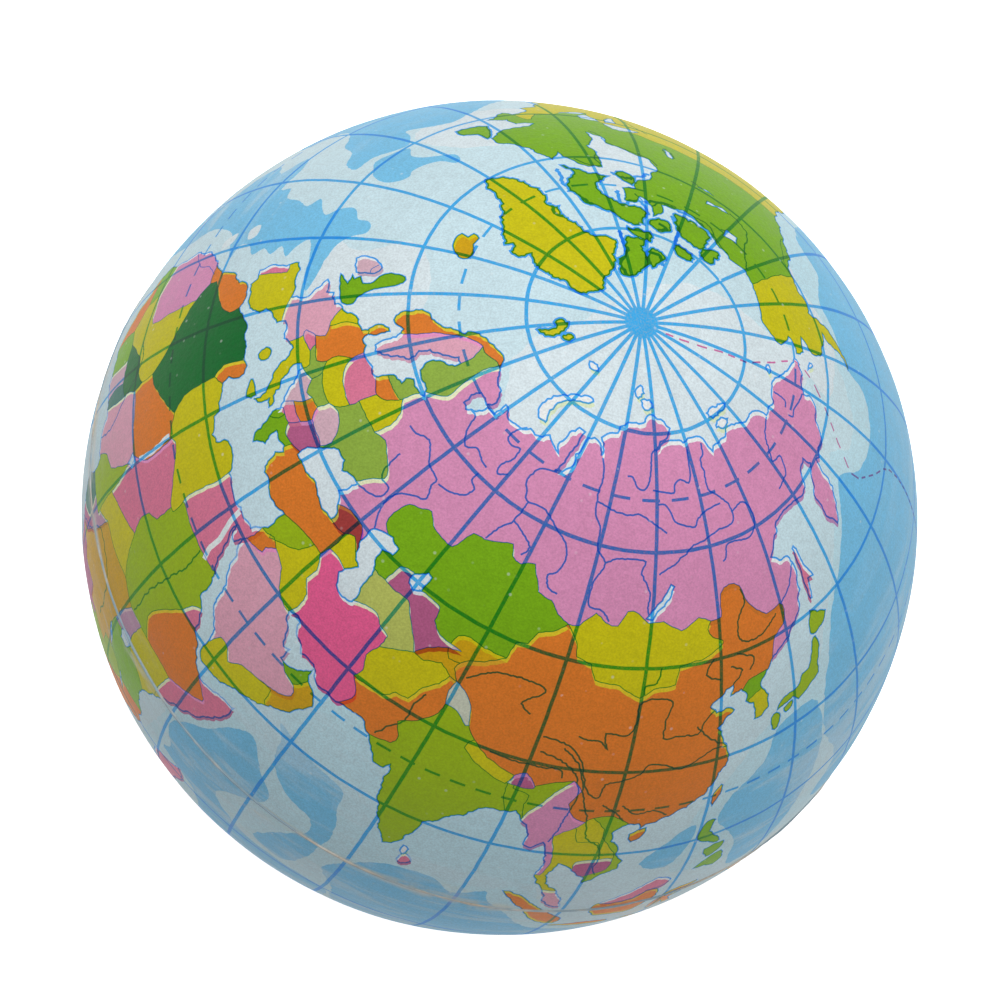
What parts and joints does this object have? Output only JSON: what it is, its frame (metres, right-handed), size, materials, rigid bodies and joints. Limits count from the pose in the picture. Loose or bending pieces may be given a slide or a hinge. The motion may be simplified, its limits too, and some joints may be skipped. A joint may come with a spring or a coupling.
{
  "type": "stress ball",
  "caption": "Soft foam squeeze ball printed as a world globe, moulded in two hemispherical film covers that meet at an equator seam.",
  "frame": {"origin": "centre of the ball, on the polar axis in the plane of the equator seam", "axes": "+Z through the printed north pole, which is the mould's opening direction; +X through the seam at the print's zero meridian"},
  "size_m": [0.0762, 0.0762, 0.075],
  "materials": {
    "foam": "matte",
    "printed_film": "satin"
  },
  "bodies": {
    "south_half": {"foam_core": "foam", "south_cover": "printed_film"},
    "north_half": {"north_cover": "printed_film"}
  },
  "joints": [
    {"name": "squeeze", "type": "slide", "parent": "south_half", "child": "north_half", "axis": [0, 0, -1], "range_m": [0, 0.02], "stiffness_N_per_m": 2000, "deforming": ["foam_core", "north_cover"]}
  ]
}
